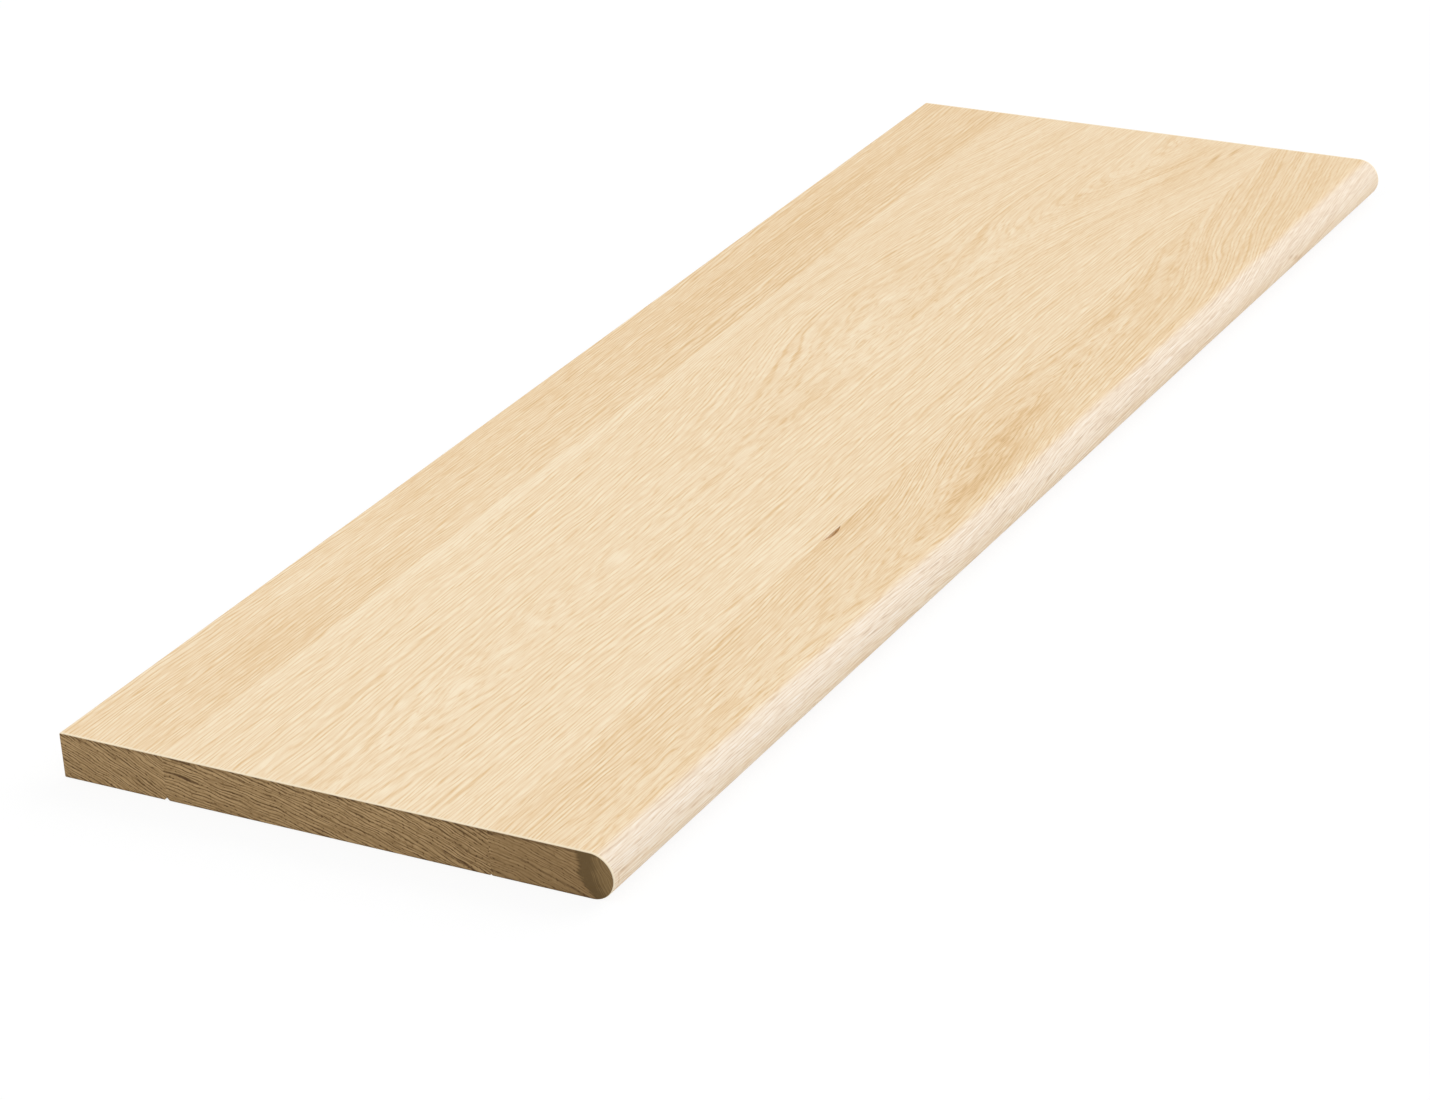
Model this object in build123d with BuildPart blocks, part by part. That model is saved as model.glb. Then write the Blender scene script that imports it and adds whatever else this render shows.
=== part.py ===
from build123d import *
import os

# Stair tread glued up from three oak staves, with a full bullnose along its front edge.
# Millimetres. +X runs along the tread, -Y points to the nosing and +Z is up.
# The origin is the middle of the underside.

# Overall size of the planed panel
length = 914.4
thickness = 23.8

# Widths of the staves, from the back edge to the nosing
back_stave_width = 60.0
middle_stave_width = 179.8
nosing_stave_width = 65.0

# Sanded corner along the back edge and round both ends
arris = 0.7

# Open V under each glue joint, where the staves' lower corners are bevelled at 45 degrees
back_groove_depth = 1.8
front_groove_depth = 0.9

# Bark pocket that opens in the nosing stave's top corner, against the front joint
pocket_middle = -125.5
pocket_length = 20.0
pocket_depth = 2.4

# Places that follow from the sizes
depth = back_stave_width + middle_stave_width + nosing_stave_width
back = depth / 2
front = -depth / 2
back_joint = back - back_stave_width
front_joint = front + nosing_stave_width
nosing_radius = thickness / 2
nosing_start = front + nosing_radius

# The whole panel, as it is after gluing, planing, nosing and sanding
with BuildPart() as panel:
    with BuildSketch(Plane.YZ) as section:
        with BuildLine() as outline:
            underside = Line((nosing_start, 0), (back, 0))
            back_edge = Line(underside @ 1, (back, thickness))
            top = Line(back_edge @ 1, (nosing_start, thickness))
            bullnose = ThreePointArc(top @ 1, (front, nosing_radius), underside @ 0)
        make_face()
    extrude(amount=length / 2, both=True)

    end_corners = panel.faces().filter_by(Axis.X).edges()
    back_corners = panel.faces().sort_by(Axis.Y)[-1].edges().filter_by(Axis.X)
    fillet(end_corners + back_corners, radius=arris)

    for joint, groove_depth in ((back_joint, back_groove_depth), (front_joint, front_groove_depth)):
        with BuildSketch(Plane.YZ) as groove:
            with BuildLine():
                Polyline(
                    (joint - groove_depth, 0),
                    (joint, groove_depth),
                    (joint + groove_depth, 0),
                    close=True,
                )
            make_face()
        extrude(amount=length / 2, both=True, mode=Mode.SUBTRACT)

# The joints are upright planes that run the whole length. Each plane's normal points to the nosing.
back_joint_plane = Plane.XZ.offset(-back_joint)
front_joint_plane = Plane.XZ.offset(-front_joint)

with BuildPart() as back_stave:
    add(panel.part)
    split(bisect_by=back_joint_plane, keep=Keep.BOTTOM)

with BuildPart() as middle_stave:
    add(panel.part)
    split(bisect_by=back_joint_plane, keep=Keep.TOP)
    split(bisect_by=front_joint_plane, keep=Keep.BOTTOM)

with BuildPart() as nosing_stave:
    add(panel.part)
    split(bisect_by=front_joint_plane, keep=Keep.TOP)

    # The pocket is a spindle turned about the joint's top line, so its far half lies in no wood
    with BuildSketch(Plane.XY.offset(thickness)) as pocket_half:
        with BuildLine() as pocket_outline:
            pocket_start = (pocket_middle - pocket_length / 2, front_joint)
            pocket_end = (pocket_middle + pocket_length / 2, front_joint)
            joint_line = Line(pocket_start, pocket_end)
            pocket_side = ThreePointArc(pocket_start, (pocket_middle, front_joint - pocket_depth), pocket_end)
        make_face()
    revolve(axis=Axis((0, front_joint, thickness), (1, 0, 0)), mode=Mode.SUBTRACT)

back_stave.part.label = "back_stave"
middle_stave.part.label = "middle_stave"
nosing_stave.part.label = "nosing_stave"

os.makedirs("parts", exist_ok=True)
export_step(back_stave.part, "parts/back_stave.step")
export_step(middle_stave.part, "parts/middle_stave.step")
export_step(nosing_stave.part, "parts/nosing_stave.step")
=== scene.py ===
import math

import bpy
from mathutils import Matrix, Vector


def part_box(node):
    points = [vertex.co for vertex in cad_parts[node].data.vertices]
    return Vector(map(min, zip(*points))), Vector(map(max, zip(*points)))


# Stair tread of unfinished oak, glued up from three staves.
# Lengths in the wood's pattern are in millimetres, and everything else is in metres.

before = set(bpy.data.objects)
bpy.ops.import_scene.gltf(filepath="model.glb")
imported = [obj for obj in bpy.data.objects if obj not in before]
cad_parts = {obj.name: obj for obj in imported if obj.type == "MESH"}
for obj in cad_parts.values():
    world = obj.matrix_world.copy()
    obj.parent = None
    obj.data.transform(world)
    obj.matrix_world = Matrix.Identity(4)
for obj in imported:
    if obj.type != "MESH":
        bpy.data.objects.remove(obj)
bpy.context.view_layer.update()

MM = 0.001
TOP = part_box("middle_stave")[1].z / MM
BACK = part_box("back_stave")[1].y / MM
BACK_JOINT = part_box("back_stave")[0].y / MM
FRONT_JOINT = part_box("nosing_stave")[1].y / MM
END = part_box("middle_stave")[1].x / MM


# Arithmetic on shader sockets


class Field:
    """A number that varies through the wood. Ordinary arithmetic on it builds the nodes."""

    def __init__(self, socket):
        self.socket = socket
        self.tree = socket.id_data

    def math(self, operation, *others, swap=False):
        node = self.tree.nodes.new("ShaderNodeMath")
        node.operation = operation
        values = [self, *others]
        if swap:
            values.reverse()
        for socket, value in zip(node.inputs, values):
            connect(self.tree, value, socket)
        return Field(node.outputs[0])

    def __add__(self, other):
        return self.math("ADD", other)

    def __radd__(self, other):
        return self.math("ADD", other)

    def __sub__(self, other):
        return self.math("SUBTRACT", other)

    def __rsub__(self, other):
        return self.math("SUBTRACT", other, swap=True)

    def __mul__(self, other):
        return self.math("MULTIPLY", other)

    def __rmul__(self, other):
        return self.math("MULTIPLY", other)

    def __truediv__(self, other):
        return self.math("DIVIDE", other)

    def __neg__(self):
        return self.math("MULTIPLY", -1.0)

    def squared(self):
        return self.math("MULTIPLY", self)

    def root(self):
        return self.math("SQRT")

    def exp(self):
        return self.math("EXPONENT")

    def size(self):
        return self.math("ABSOLUTE")

    def comb(self, sharpness):
        """A row of teeth, 0 to 1, one for each 1 that the field grows by. Sharpness makes them thinner."""
        wave = (self * math.tau).math("COSINE")
        return (wave * 0.5 + 0.5).math("POWER", sharpness)

    def rise(self, low, high):
        """0 below low, 1 above high and smooth between. With low above high it falls."""
        node = self.tree.nodes.new("ShaderNodeMapRange")
        node.interpolation_type = "SMOOTHSTEP"
        connect(self.tree, self, node.inputs["Value"])
        node.inputs["From Min"].default_value = min(low, high)
        node.inputs["From Max"].default_value = max(low, high)
        node.inputs["To Min"].default_value = 0.0 if low < high else 1.0
        node.inputs["To Max"].default_value = 1.0 if low < high else 0.0
        return Field(node.outputs["Result"])


def connect(tree, value, socket):
    """Links a Field to a socket, or sets a plain value on it."""
    if isinstance(value, Field):
        tree.links.new(value.socket, socket)
    else:
        socket.default_value = value


def vector(x, y, z):
    """Three Fields, or numbers, as one vector. The first has to be a Field."""
    node = x.tree.nodes.new("ShaderNodeCombineXYZ")
    for socket, value in zip(node.inputs, (x, y, z)):
        connect(x.tree, value, socket)
    return Field(node.outputs[0])


def noise(at, detail):
    """Smooth noise about 0, mostly between -1 and 1, at a vector whose units are its grain."""
    node = at.tree.nodes.new("ShaderNodeTexNoise")
    node.noise_dimensions = "3D"
    node.inputs["Scale"].default_value = 1.0
    node.inputs["Detail"].default_value = detail
    node.inputs["Roughness"].default_value = 0.55
    node.inputs["Distortion"].default_value = 0.0
    connect(at.tree, at, node.inputs["Vector"])
    return Field(node.outputs["Fac"]) * 4.0 - 2.0


def ramp(factor, stops):
    """A colour that runs through (place, (r, g, b)) stops as the factor grows."""
    node = factor.tree.nodes.new("ShaderNodeValToRGB")
    connect(factor.tree, factor, node.inputs["Fac"])
    elements = node.color_ramp.elements
    while len(elements) < len(stops):
        elements.new(0.5)
    for element, (place, colour) in zip(elements, stops):
        element.position = place
        element.color = (*colour, 1.0)
    return Field(node.outputs["Color"])


def mix(factor, first, second):
    """The first colour, turned into the second as the factor goes from 0 to 1."""
    node = factor.tree.nodes.new("ShaderNodeMix")
    node.data_type = "RGBA"
    connect(factor.tree, factor, node.inputs["Factor"])
    for name, value in (("A", first), ("B", second)):
        socket = [s for s in node.inputs if s.name == name and s.type == "RGBA"][0]
        connect(factor.tree, value if isinstance(value, Field) else (*value, 1.0), socket)
    return Field([s for s in node.outputs if s.type == "RGBA"][0])


# The figure of each stave: a length that is the same all along one growth ring of its top face, and
# a share that is 1 where the rings lie flat in the face and point along the fibres


def swell(x, y, middle_x, middle_y, reach_x, reach_y):
    """A hump of 1 at its middle that fades away over its reach."""
    return (-(((x - middle_x) / reach_x).squared() + ((y - middle_y) / reach_y).squared())).exp()


def ridge(across, reach):
    """A hump of 1 where across is 0 that fades away over its reach."""
    return (-(across / reach).squared()).exp()


def fold(across, width):
    """The distance from a line where the rings fold back, rounded off over a width at the line."""
    return (across.squared() + width * width).root()


def back_figure(x, y):
    """Straight rings that sag away from the back edge along the middle of the stave."""
    sag = 22.0 * swell(x, y, -90.0, 165.0, 230.0, 28.0)
    lift = 5.0 * swell(x, y, 250.0, 110.0, 150.0, 30.0)
    at_heart = swell(x, y, -90.0, 165.0, 200.0, 10.0)
    return y + sag - lift, at_heart


def middle_figure(x, y):
    """Nested points that face the near end at both ends of the stave, with straight rings between."""
    heart = -26.0 * x.rise(280.0, 480.0) - 1.0
    bulge = 26.0 * swell(x, y, 145.0, 55.0, 130.0, 38.0)
    lift = 9.0 * swell(x, y, 80.0, 60.0, 300.0, 45.0)
    sag = 6.0 * swell(x, y, -175.0, -58.0, 120.0, 22.0)
    off_heart = y - bulge - lift + sag - heart
    near_points = 16.0 * x.rise(-180.0, -460.0) * ridge(off_heart, 26.0)
    far_points = 60.0 * x.rise(170.0, 560.0) * ridge(off_heart, 50.0)
    at_points = ridge(off_heart, 15.0) * (0.5 + 0.5 * x.size().rise(120.0, 260.0))
    in_bulge = swell(x, y, 115.0, 12.0, 110.0, 20.0)
    return fold(off_heart, 6.0) + near_points - far_points, at_points + in_bulge


def nosing_figure(x, y):
    """One long oval, and rings that climb towards the joint at the far end."""
    heart = 21.0 * x.rise(-110.0, 60.0) - 131.0
    climb = 0.2 * (x - 190.0) * x.rise(160.0, 330.0)
    off_heart = y - heart - climb
    oval = 18.0 * swell(x, off_heart, -20.0, 0.0, 150.0, 40.0)
    return fold(off_heart, 5.0) - oval, ridge(off_heart, 12.0)


# Tone patches of each stave: middle x and y, reach in x and y, and how much darker (paler below 0)

BACK_PATCHES = [
    (-340.0, 110.0, 60.0, 17.0, 0.07),
    (-262.0, 136.0, 55.0, 12.0, -0.08),
    (178.0, 122.0, 120.0, 14.0, 0.07),
    (300.0, 128.0, 80.0, 16.0, 0.04),
]
MIDDLE_PATCHES = [
    (-140.0, 88.0, 230.0, 4.0, -0.12),
    (-345.0, 0.0, 60.0, 6.0, -0.06),
    (-157.0, -70.0, 24.0, 17.0, -0.08),
    (84.0, 2.5, 34.0, 8.0, -0.12),
    (0.0, 3.0, 60.0, 12.0, 0.05),
    (395.0, -47.0, 36.0, 8.0, 0.09),
    (425.0, -58.5, 11.0, 1.3, 0.4),
    (441.0, -65.0, 7.0, 1.3, 0.3),
]
NOSING_PATCHES = [
    (-38.0, -130.0, 50.0, 6.5, 0.24),
    (25.0, -118.0, 48.0, 7.0, 0.20),
    (-118.0, -89.0, 46.0, 6.0, 0.17),
    (-370.0, -108.0, 90.0, 18.0, 0.05),
]

# Small marks on the rounded nosing: middle x and z, reach in x and z, and how much darker

NOSING_MARKS = [
    (-452.3, 10.0, 0.45, 3.2, 0.40),
    (-449.5, 13.6, 2.6, 0.6, 0.25),
    (321.0, 13.6, 3.6, 1.1, 0.30),
    (327.5, 10.8, 3.6, 1.1, 0.34),
    (334.0, 8.0, 3.6, 1.1, 0.30),
]


def patchwork(x, y, patches):
    """The sum of a list of tone patches or marks."""
    total = 0.0
    for middle_x, middle_y, reach_x, reach_y, darker in patches:
        total = darker * swell(x, y, middle_x, middle_y, reach_x, reach_y) + total
    return total


# The sawn end of each stave: where its rings start to dip, how steeply, and how much more with distance

BACK_END = (BACK, 0.36, 0.0015)
MIDDLE_END = (BACK_JOINT, 0.14, 0.0007)
NOSING_END = (FRONT_JOINT, 0.20, 0.0022)
CUP_START = -130.0
TIP_START = -136.0
ROUND_TIP_Y = -163.0
ROUND_TIP_Z = 14.0
ROUND_TIP_RADIUS = 27.0


def across_tip(y, z):
    """y, measured so that the band before the nosing's tip, which bends low down, is straight."""
    return y + 0.05 * (z.math("MINIMUM", 14.0) - 14.0).squared()


def end_rings(y, z, start, slope, bend):
    """A height that is the same all along one growth ring of the sawn end."""
    run = start - y
    dipping = z + slope * run + bend * run.squared()
    cup = 0.6 * (CUP_START - y).rise(-4.0, 8.0) * (CUP_START - y) * z.rise(12.0, 22.0)
    off_middle = ((y - ROUND_TIP_Y).squared() + (z - ROUND_TIP_Z).squared()).root()
    round_tip = (off_middle - ROUND_TIP_RADIUS) * 1.2
    is_tip = across_tip(y, z).rise(TIP_START, TIP_START - 3.0)
    return dipping * (1.0 - is_tip) - cup + round_tip * is_tip


# Oak

PALE = (0.945, 0.80, 0.58)
CREAM = (0.88, 0.69, 0.457)
HONEY = (0.795, 0.56, 0.307)
TAN = (0.63, 0.40, 0.18)
# Paler rubbed wood with a painted highlight, on the rounded edges at the ends.
ARRIS_WEAR_AND_HIGHLIGHT = (0.95, 0.82, 0.60)
# The nose's colours are the face's, made paler and less yellow: a painted sheen.
NOSE_SHEEN_PALE = (0.94, 0.845, 0.735)
NOSE_SHEEN_CREAM = (0.88, 0.75, 0.60)
NOSE_SHEEN_HONEY = (0.76, 0.60, 0.445)
NOSE_SHEEN_TAN = (0.53, 0.385, 0.27)
END_PALE = (0.575, 0.385, 0.185)
END_BROWN = (0.355, 0.22, 0.092)
END_PORE = (0.115, 0.058, 0.017)
END_OLIVE = (0.24, 0.165, 0.06)
BARK = (0.68, 0.47, 0.25)
YEAR_WIDTH = 2.4
END_YEAR_WIDTH = 1.75
YEAR_SHARPNESS = 2.5
YEAR_MEAN = 0.34
STROKE_WIDTH = 2.3
STROKE_SHARPNESS = 2.0
STROKE_MEAN = 0.375
FIRST_TONE = 0.665
END_FIRST_TONE = 0.62
TAN_AT, HONEY_AT, CREAM_AT, PALE_AT = 0.0, 0.38, 0.62, 0.85
POCKET_X = -125.5
SPECULAR = 0.30
BUMP_STRENGTH = 0.35
BUMP_HEIGHT = 0.05 * MM


def long_grain(x, y, z, wood):
    """The tone along the fibres, 0 dark to 1 pale, with some painted shade, and the years, strokes, pores
    and hairs in it.
    """
    seed = wood["seed"]
    depth = TOP - z
    wander = 1.3 * noise(vector(x / 80.0 + seed, y / 16.0, z / 16.0), 1.5)
    stagger = noise(vector(x / 40.0 + seed, y / 0.9, z / 0.9), 0.0)
    rings_at_top, at_heart = wood["figure"](x, y + wood["lean"] * depth)
    ring = rings_at_top + wood["dip"] * depth + wander + (0.15 + 0.30 * at_heart) * stagger
    fibre = y + wander

    round_ring = (y + 2.0 * z) / 30.0
    on_nose = y.rise(-136.0, -146.0)
    bands = noise(vector(x / 260.0 + seed, ring / 4.5, round_ring), 1.0)
    drift = noise(vector(x / 200.0 + seed, ring / 9.0, round_ring), 0.0)
    jitter = noise(vector(x / 22.0 + seed, ring / 2.4, round_ring * 4.0), 0.0)
    breaks = noise(vector(x / 11.0 + seed, ring / 1.9, round_ring * 4.0), 0.0)
    years = (ring / YEAR_WIDTH + 0.6 * drift + (0.17 + 0.10 * on_nose) * jitter).comb(YEAR_SHARPNESS)
    weave = noise(vector(x / 22.0 + seed, fibre / 2.6, z / 2.6), 0.0)
    strokes = (fibre / STROKE_WIDTH + 0.7 * weave).comb(STROKE_SHARPNESS)
    hairs = noise(vector(x / 8.0 + seed, fibre / 0.9, z / 0.9), 0.0)
    pores = noise(vector(x / 5.0 + seed, fibre / 0.7, z / 0.7), 0.0).rise(0.6, 1.1)
    blotch = noise(vector(x / 120.0 + seed, y / 30.0, z / 30.0), 2.0)
    boldness = noise(vector(x / 110.0 - seed, ring / 9.0, round_ring), 1.0)

    darker = 0.26 * (years - YEAR_MEAN) * (1.0 + 0.7 * breaks + 0.35 * boldness) * (1.0 - 0.50 * at_heart)
    darker = darker + 0.10 * (strokes - STROKE_MEAN) * (1.0 + at_heart)
    darker = darker + 0.07 * pores * (1.0 + at_heart)
    near_contrast, far_contrast = wood["contrast"]
    darker = darker * (near_contrast + (far_contrast - near_contrast) * x.rise(50.0, 400.0))
    streaks = (0.026 + 0.070 * x.rise(-250.0, 350.0)) * bands
    tone = FIRST_TONE - darker + streaks + 0.03 * breaks + 0.05 * hairs + 0.012 * blotch
    # The steady darkening towards the far end is painted shade.
    tone = tone - 0.060 * x.rise(-450.0, 450.0) - wood["darker"] - patchwork(x, y, wood["patches"])
    # Besides the nose's own marks, the darkening low on the nose is painted shade.
    tone = tone - on_nose * (patchwork(x, z, wood["marks"]) + 0.07 * z.rise(9.0, 3.0))
    return tone, years, strokes, pores, hairs


def end_grain(y, z, wood):
    """The tone of the sawn end, 0 dark to 1 pale, and y measured across the nosing's tip."""
    seed = wood["seed"]
    ring = end_rings(y, z, *wood["end"]) + 0.8 * noise(vector(y / 16.0 + seed, z / 8.0, seed), 1.0)
    along = y - 0.25 * z
    pace = noise(vector(along / 35.0 + seed, ring / 5.0, seed), 1.0)
    bold = noise(vector(along / 16.0 + seed, ring / 2.5, seed), 1.0)
    years = (ring / END_YEAR_WIDTH + 0.7 * pace).comb(YEAR_SHARPNESS)
    dashes = noise(vector(along / 4.0 + seed, ring / 0.8, seed), 2.0)
    vessels = noise(vector(along / 1.6 + seed, ring / 1.0, seed + 9.0), 0.0).rise(0.45, 1.0)
    clusters = noise(vector(along / 14.0 + seed, ring / 1.6, seed + 4.0), 1.0).rise(0.25, 1.0)
    calm = 1.15 - 0.6 * y.rise(-86.0, -90.0)

    marks = 0.22 * dashes - 0.55 * (years - YEAR_MEAN) * (1.0 + 0.9 * bold) + 0.05 * bold
    marks = marks - 0.28 * (clusters - 0.15)
    marks = marks - (0.25 + 0.5 * years) * vessels
    tone = END_FIRST_TONE + calm * marks - 0.20 * y.rise(-20.0, -150.0)
    tip = across_tip(y, z) + 0.8 * noise(vector(z / 5.0, y / 20.0, seed), 1.0)
    tip_band = 0.52 * tip.rise(-132.5, -136.0) * tip.rise(-146.0, -138.0)
    tone = tone - tip_band - 0.10 * tip.rise(-137.0, -140.0)
    tone = tone - 0.25 * (z.rise(1.6, 0.4) + (TOP - z).rise(2.0, 0.9))
    return tone, tip


def oak(name, **wood):
    """Sanded oak for one stave, from its settings.

    figure, patches, marks and end are the stave's own, from above.
    seed sets its noise apart from the other staves'.
    lean slides the figure sideways and dip adds growth, both for each millimetre of depth.
    darker is taken from the tone all over.
    contrast is how strong the lines are at the near end and at the far end.
    """
    material = bpy.data.materials.new(name)
    material.use_nodes = True
    tree = material.node_tree
    tree.nodes.clear()
    shader = tree.nodes.new("ShaderNodeBsdfPrincipled")
    output = tree.nodes.new("ShaderNodeOutputMaterial")
    tree.links.new(shader.outputs[0], output.inputs["Surface"])

    coordinates = tree.nodes.new("ShaderNodeTexCoord")
    place = tree.nodes.new("ShaderNodeSeparateXYZ")
    tree.links.new(coordinates.outputs["Object"], place.inputs[0])
    x, y, z = (Field(socket) * (1.0 / MM) for socket in place.outputs)
    facing = tree.nodes.new("ShaderNodeSeparateXYZ")
    tree.links.new(coordinates.outputs["Normal"], facing.inputs[0])
    end_facing = Field(facing.outputs["X"]).size()
    depth = TOP - z

    tone, years, strokes, pores, hairs = long_grain(x, y, z, wood)
    face = ramp(tone, [(TAN_AT, TAN), (HONEY_AT, HONEY), (CREAM_AT, CREAM), (PALE_AT, PALE)])
    nose_sheen_stops = [(TAN_AT, NOSE_SHEEN_TAN), (HONEY_AT, NOSE_SHEEN_HONEY), (CREAM_AT, NOSE_SHEEN_CREAM), (PALE_AT, NOSE_SHEEN_PALE)]
    nose_with_sheen = ramp(tone, nose_sheen_stops)
    end_tone, tip = end_grain(y, z, wood)
    end_face = ramp(end_tone, [(0.0, END_PORE), (0.5, END_BROWN), (1.0, END_PALE)])
    end_face = mix(0.35 * tip.rise(-132.0, -136.0), end_face, END_OLIVE)

    is_end = end_facing.rise(0.55, 0.82)
    # Painted highlight on the rounded edges at the ends, over paler rubbed wood.
    is_arris_wear_and_highlight = x.size().rise(END - 1.9, END - 1.1) * (1.0 - is_end)
    # Painted sheen on the nose, in full on its upper part and half as strong low down.
    is_nose_sheen = Field(facing.outputs["Y"]).rise(-0.05, -0.55) * (1.0 - 0.5 * z.rise(18.0, 8.0))
    below_top = depth.rise(0.03, 0.25) * depth.rise(6.0, 4.0)
    is_pocket = below_top * swell(x, y, POCKET_X, FRONT_JOINT, 12.0, 3.5).rise(0.3, 0.6)
    bark_share = 0.45 + 0.4 * (x - POCKET_X).rise(-5.0, 6.0)
    colour = mix(is_end, mix(is_nose_sheen, face, nose_with_sheen), end_face)
    colour = mix(0.8 * is_arris_wear_and_highlight, colour, ARRIS_WEAR_AND_HIGHLIGHT)
    colour = mix(is_pocket * bark_share * (1.0 - is_end), colour, BARK)
    connect(tree, colour, shader.inputs["Base Color"])
    connect(tree, 0.50 + 0.10 * years + 0.05 * hairs + 0.20 * is_end, shader.inputs["Roughness"])
    shader.inputs["Specular IOR Level"].default_value = SPECULAR

    relief = tree.nodes.new("ShaderNodeBump")
    relief.inputs["Strength"].default_value = BUMP_STRENGTH
    relief.inputs["Distance"].default_value = BUMP_HEIGHT
    flat_relief = 0.6 * (YEAR_MEAN - years) + 0.5 * (STROKE_MEAN - strokes) - 0.6 * pores
    end_relief = 0.8 * (end_tone - 0.5)
    height = flat_relief * end_facing.rise(0.2, 0.02) + end_relief * end_facing.rise(0.97, 0.999)
    connect(tree, height, relief.inputs["Height"])
    tree.links.new(relief.outputs[0], shader.inputs["Normal"])
    return material


def dress(node, material):
    """Gives a stave its wood."""
    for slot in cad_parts[node].material_slots:
        slot.link = "OBJECT"
        slot.material = material


back_oak = oak(
    "oak_back",
    figure=back_figure,
    patches=BACK_PATCHES,
    marks=[],
    end=BACK_END,
    seed=3.0,
    lean=0.9,
    dip=0.5,
    darker=0.09,
    contrast=(1.08, 0.78),
)
middle_oak = oak(
    "oak_middle",
    figure=middle_figure,
    patches=MIDDLE_PATCHES,
    marks=[],
    end=MIDDLE_END,
    seed=17.0,
    lean=2.5,
    dip=0.9,
    darker=0.0,
    contrast=(1.0, 0.72),
)
nosing_oak = oak(
    "oak_nosing",
    figure=nosing_figure,
    patches=NOSING_PATCHES,
    marks=NOSING_MARKS,
    end=NOSING_END,
    seed=41.0,
    lean=0.3,
    dip=1.8,
    darker=0.07,
    contrast=(1.1, 0.60),
)
dress("back_stave", back_oak)
dress("middle_stave", middle_oak)
dress("nosing_stave", nosing_oak)


# Camera, at the photograph's place

CAMERA_PLACE = Vector((-1.9070, -1.0835, 0.9964))
CAMERA_AZIMUTH = 59.12
CAMERA_DROP = 25.60
CAMERA_ROLL = -3.91
SENSOR_WIDTH = 36.0
FOCAL_LENGTH = 112.2


def add_camera():
    data = bpy.data.cameras.new("camera")
    data.sensor_width = SENSOR_WIDTH
    data.lens = FOCAL_LENGTH
    data.clip_end = 50.0
    camera = bpy.data.objects.new("camera", data)
    bpy.context.scene.collection.objects.link(camera)
    heading = Matrix.Rotation(math.radians(-CAMERA_AZIMUTH), 4, "Z")
    pitch = Matrix.Rotation(math.radians(90.0 - CAMERA_DROP), 4, "X")
    roll = Matrix.Rotation(math.radians(CAMERA_ROLL), 4, "Z")
    camera.matrix_world = Matrix.Translation(CAMERA_PLACE) @ heading @ pitch @ roll
    bpy.context.scene.camera = camera


add_camera()


# Studio: a pale floor, a large soft light above, and two low ones beyond the far end and the nosing

FLOOR_REACH = 12.0
FLOOR_DROP = 0.0002
FLOOR_GREY = 0.80
SEEN_FLOOR_GREY = 0.12
SEEN_FLOOR_GLOW = 0.89
WORLD_STRENGTH = 0.52


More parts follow.
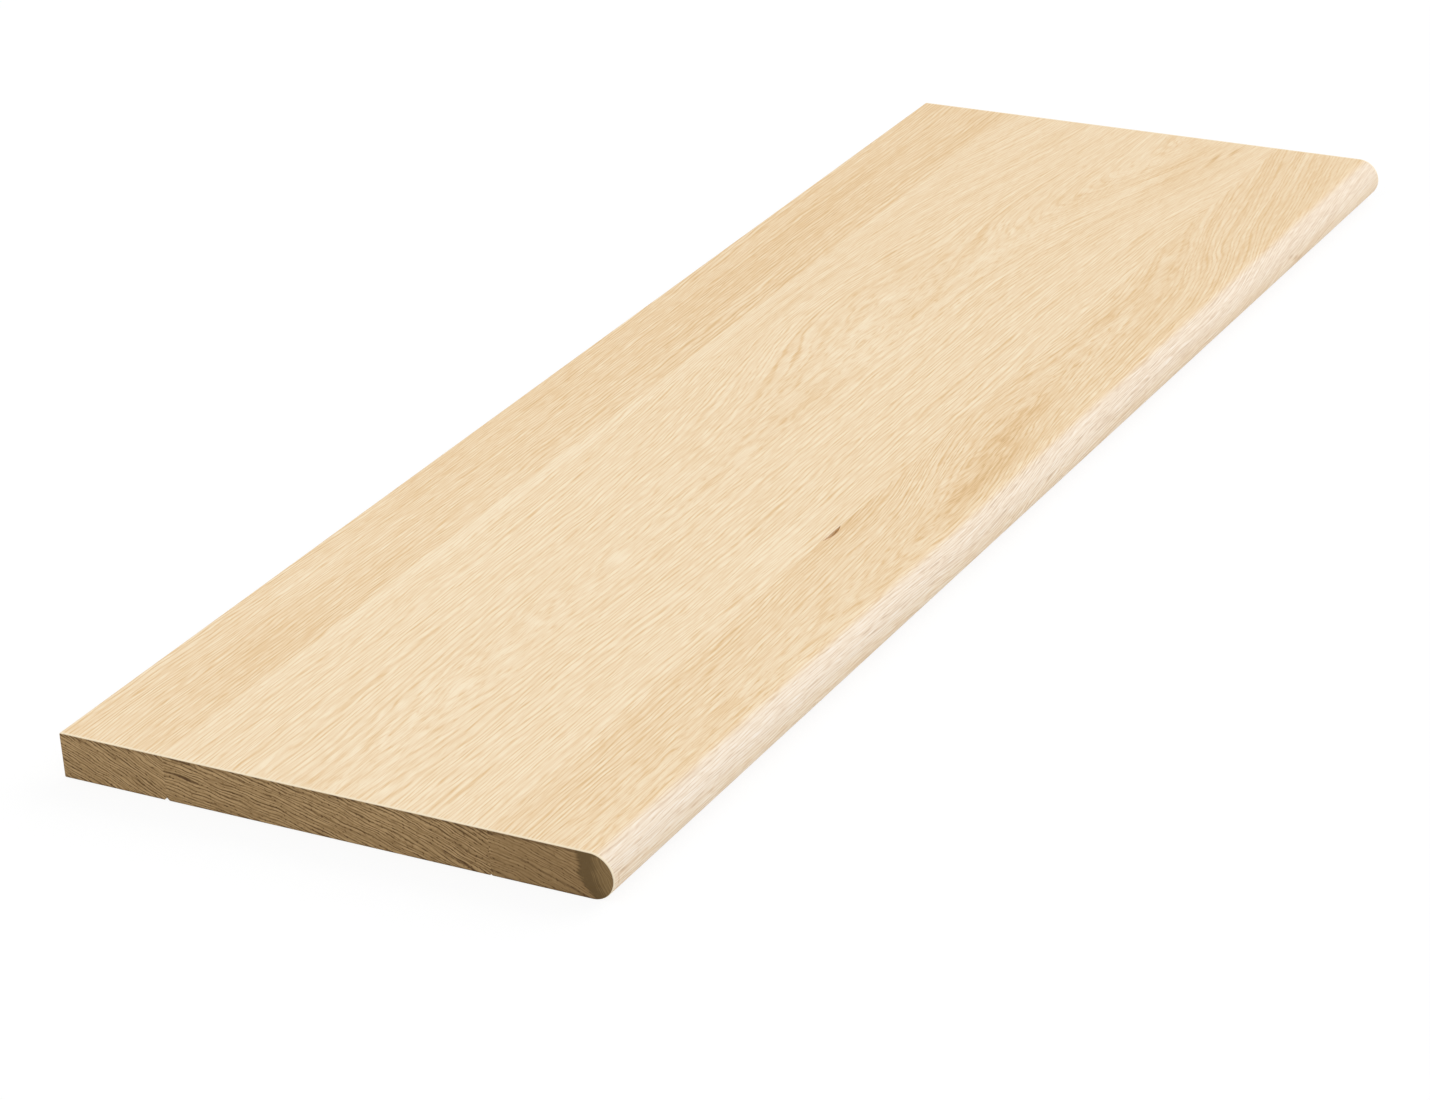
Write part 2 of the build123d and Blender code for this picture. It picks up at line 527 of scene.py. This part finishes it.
def add_floor():
    """A floor that looks white with a faint shadow, and gives the tread plain pale light."""
    mesh = bpy.data.meshes.new("floor")
    reach = FLOOR_REACH
    corners = [(-reach, -reach, 0), (reach, -reach, 0), (reach, reach, 0), (-reach, reach, 0)]
    mesh.from_pydata(corners, [], [(0, 1, 2, 3)])
    floor = bpy.data.objects.new("floor", mesh)
    bpy.context.scene.collection.objects.link(floor)
    material = bpy.data.materials.new("floor")
    material.use_nodes = True
    tree = material.node_tree
    tree.nodes.clear()
    diffuse = tree.nodes.new("ShaderNodeBsdfDiffuse")
    diffuse.inputs["Color"].default_value = (FLOOR_GREY, FLOOR_GREY, FLOOR_GREY, 1.0)
    seen_diffuse = tree.nodes.new("ShaderNodeBsdfDiffuse")
    seen_diffuse.inputs["Color"].default_value = (SEEN_FLOOR_GREY, SEEN_FLOOR_GREY, SEEN_FLOOR_GREY, 1.0)
    glow = tree.nodes.new("ShaderNodeEmission")
    glow.inputs["Strength"].default_value = SEEN_FLOOR_GLOW
    seen = tree.nodes.new("ShaderNodeAddShader")
    tree.links.new(seen_diffuse.outputs[0], seen.inputs[0])
    tree.links.new(glow.outputs[0], seen.inputs[1])
    light_path = tree.nodes.new("ShaderNodeLightPath")
    choose = tree.nodes.new("ShaderNodeMixShader")
    seen_ray = Field(light_path.outputs["Is Camera Ray"])
    for ray in ("Is Glossy Ray", "Is Transmission Ray"):
        seen_ray = seen_ray.math("MAXIMUM", Field(light_path.outputs[ray]))
    connect(tree, seen_ray, choose.inputs["Fac"])
    tree.links.new(diffuse.outputs[0], choose.inputs[1])
    tree.links.new(seen.outputs[0], choose.inputs[2])
    output = tree.nodes.new("ShaderNodeOutputMaterial")
    tree.links.new(choose.outputs[0], output.inputs["Surface"])
    mesh.materials.append(material)
    floor.location.z = -FLOOR_DROP


def add_softbox(name, direction, distance, size, power, glare):
    """A square light that faces the tread's middle. Without glare it lights the wood but isn't reflected."""
    data = bpy.data.lights.new(name, "AREA")
    data.shape = "SQUARE"
    data.size = size
    data.energy = power
    light = bpy.data.objects.new(name, data)
    light.visible_glossy = glare
    bpy.context.scene.collection.objects.link(light)
    towards = Vector(direction).normalized()
    turn = towards.to_track_quat("Z", "Y").to_matrix().to_4x4()
    light.matrix_world = Matrix.Translation(towards * distance) @ turn


def add_world():
    world = bpy.data.worlds.new("studio")
    bpy.context.scene.world = world
    world.use_nodes = True
    background = world.node_tree.nodes["Background"]
    background.inputs["Color"].default_value = (1.0, 1.0, 1.0, 1.0)
    background.inputs["Strength"].default_value = WORLD_STRENGTH


add_floor()
add_softbox("overhead", (-0.5, 0.35, 1.0), distance=3.0, size=3.2, power=26.5, glare=True)
add_softbox("beyond_far_end", (0.77, -0.25, 0.42), distance=9.0, size=8.4, power=415.0, glare=False)
add_softbox("beyond_nosing", (0.74, -0.50, 0.38), distance=9.0, size=8.4, power=335.0, glare=False)
add_world()
bpy.context.scene.view_settings.view_transform = "Standard"

bpy.context.view_layer.update()
